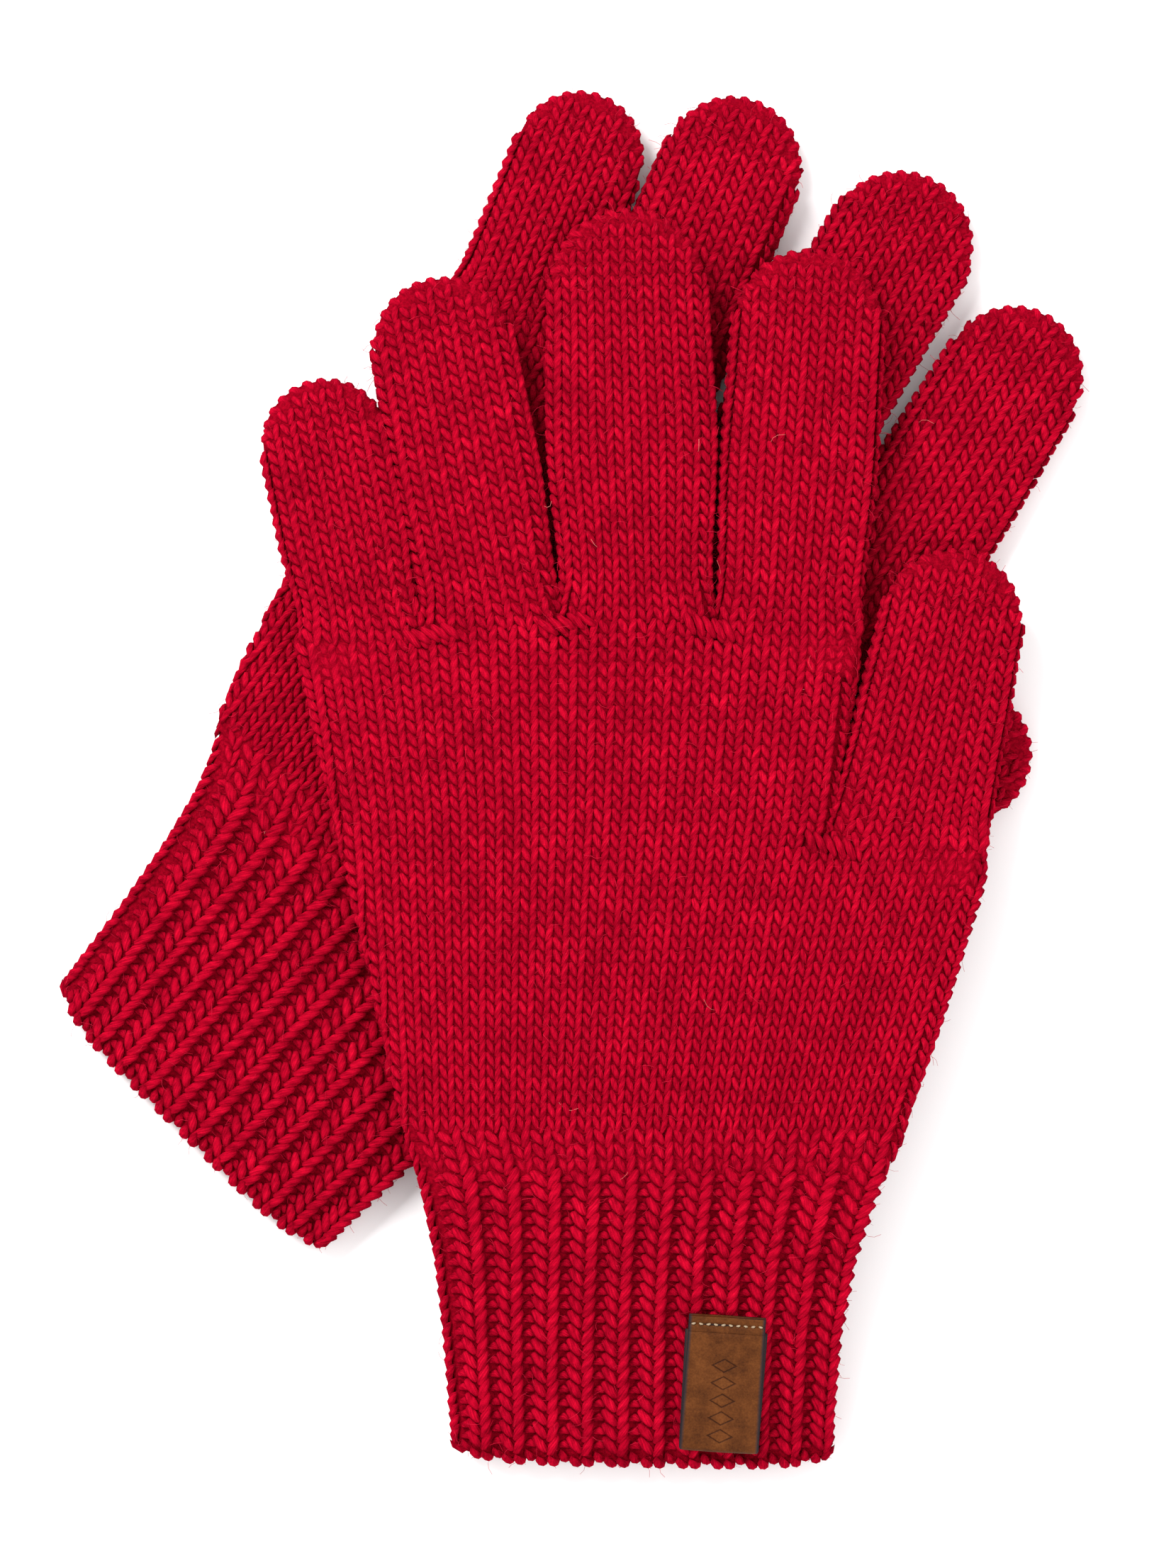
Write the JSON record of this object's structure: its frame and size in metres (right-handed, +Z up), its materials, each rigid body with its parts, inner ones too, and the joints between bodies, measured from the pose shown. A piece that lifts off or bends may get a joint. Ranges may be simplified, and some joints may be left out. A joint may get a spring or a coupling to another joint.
{
  "type": "knitted gloves",
  "caption": "Pair of fine knitted wool gloves laid flat, one across the other, with ribbed cuffs and a folded leather label on the top cuff.",
  "frame": {"origin": "centre of the pair's bounding box, on the table", "axes": "+X to the right across the upper glove, +Y along it from the cuff to the fingertips, +Z up from the table"},
  "size_m": [0.1891, 0.2494, 0.0197],
  "materials": {
    "wool_knit": "stockinette knit of two-ply red wool, fuzzy, matt with a soft sheen",
    "rib_knit": "one-by-one rib of the same red wool, with dark recessed purl valleys",
    "leather": "tan cowhide, fine grain, dark inked cut edges",
    "label_thread": "dark brown sewing thread"
  },
  "bodies": {
    "lower_hand": {"lower_hand": "wool_knit", "lower_cuff": "rib_knit", "lower_crotch_stitches": "wool_knit"},
    "lower_cuff_end": {"lower_cuff_end": "rib_knit", "lower_hem": "rib_knit"},
    "lower_little": {"lower_little": "wool_knit"},
    "lower_ring": {"lower_ring": "wool_knit"},
    "lower_middle": {"lower_middle": "wool_knit"},
    "lower_index": {"lower_index": "wool_knit"},
    "lower_thumb": {"lower_thumb": "wool_knit"},
    "upper_hand": {"upper_hand": "wool_knit", "upper_crotch_stitches": "wool_knit"},
    "upper_cuff": {"upper_cuff": "rib_knit", "upper_hem": "rib_knit", "label_head": "leather", "label_thread": "label_thread"},
    "upper_little": {"upper_little": "wool_knit"},
    "upper_ring": {"upper_ring": "wool_knit"},
    "upper_middle": {"upper_middle": "wool_knit"},
    "upper_index": {"upper_index": "wool_knit"},
    "upper_thumb": {"upper_thumb": "wool_knit"},
    "label": {"label_loop": "leather"}
  },
  "joints": [
    {"name": "upper_glove_lift", "type": "slide", "parent": "lower_hand", "child": "upper_hand", "axis": [0, 0, 1], "range_m": [0, 0.15]},
    {"name": "upper_little_fold", "type": "hinge", "parent": "upper_hand", "child": "upper_little", "pos_m": [-0.03547, 0.02595, 0.0135], "axis": [0.9781, 0.2079, 0], "range_deg": [0, 80]},
    {"name": "upper_ring_fold", "type": "hinge", "parent": "upper_hand", "child": "upper_ring", "pos_m": [-0.01207, 0.02855, 0.0135], "axis": [0.9826, 0.1857, 0], "range_deg": [0, 80]},
    {"name": "upper_middle_fold", "type": "hinge", "parent": "upper_hand", "child": "upper_middle", "pos_m": [0.01373, 0.02995, 0.0135], "axis": [0.9996, 0.0297, 0], "range_deg": [0, 80]},
    {"name": "upper_index_fold", "type": "hinge", "parent": "upper_hand", "child": "upper_index", "pos_m": [0.04093, 0.02715, 0.0135], "axis": [0.9977, -0.068, 0], "range_deg": [0, 80]},
    {"name": "upper_thumb_fold", "type": "hinge", "parent": "upper_hand", "child": "upper_thumb", "pos_m": [0.06193, -0.01255, 0.0135], "axis": [0.9781, -0.2079, 0], "range_deg": [0, 80]},
    {"name": "upper_wrist_fold", "type": "hinge", "parent": "upper_hand", "child": "upper_cuff", "pos_m": [0.01723, -0.07375, 0.0144], "axis": [-1, 0, 0], "range_deg": [0, 60]},
    {"name": "label_lift", "type": "hinge", "parent": "upper_cuff", "child": "label", "pos_m": [0.02995, -0.09925, 0.01789], "axis": [-0.998, 0.0618, 0.011], "range_deg": [0, 100]},
    {"name": "lower_little_spread", "type": "hinge", "parent": "lower_hand", "child": "lower_little", "pos_m": [-0.01023, 0.08238, 0.0044], "axis": [0, 0, 1], "range_deg": [0, 6]},
    {"name": "lower_ring_spread", "type": "hinge", "parent": "lower_hand", "child": "lower_ring", "pos_m": [0.0107, 0.06683, 0.0044], "axis": [0, 0, 1], "range_deg": [-4, 0]},
    {"name": "lower_middle_spread", "type": "hinge", "parent": "lower_hand", "child": "lower_middle", "pos_m": [0.03286, 0.04889, 0.0044], "axis": [0, 0, 1], "range_deg": [0, 3]},
    {"name": "lower_index_spread", "type": "hinge", "parent": "lower_hand", "child": "lower_index", "pos_m": [0.05218, 0.02812, 0.0044], "axis": [0, 0, 1], "range_deg": [-5, 0]},
    {"name": "lower_thumb_spread", "type": "hinge", "parent": "lower_hand", "child": "lower_thumb", "pos_m": [0.03819, -0.01205, 0.0044], "axis": [0, 0, 1], "range_deg": [-7, 3]},
    {"name": "lower_cuff_turn_up", "type": "hinge", "parent": "lower_hand", "child": "lower_cuff_end", "pos_m": [-0.05905, -0.05075, 0.0044], "axis": [-0.7547, 0.6561, 0], "range_deg": [0, 80]}
  ]
}
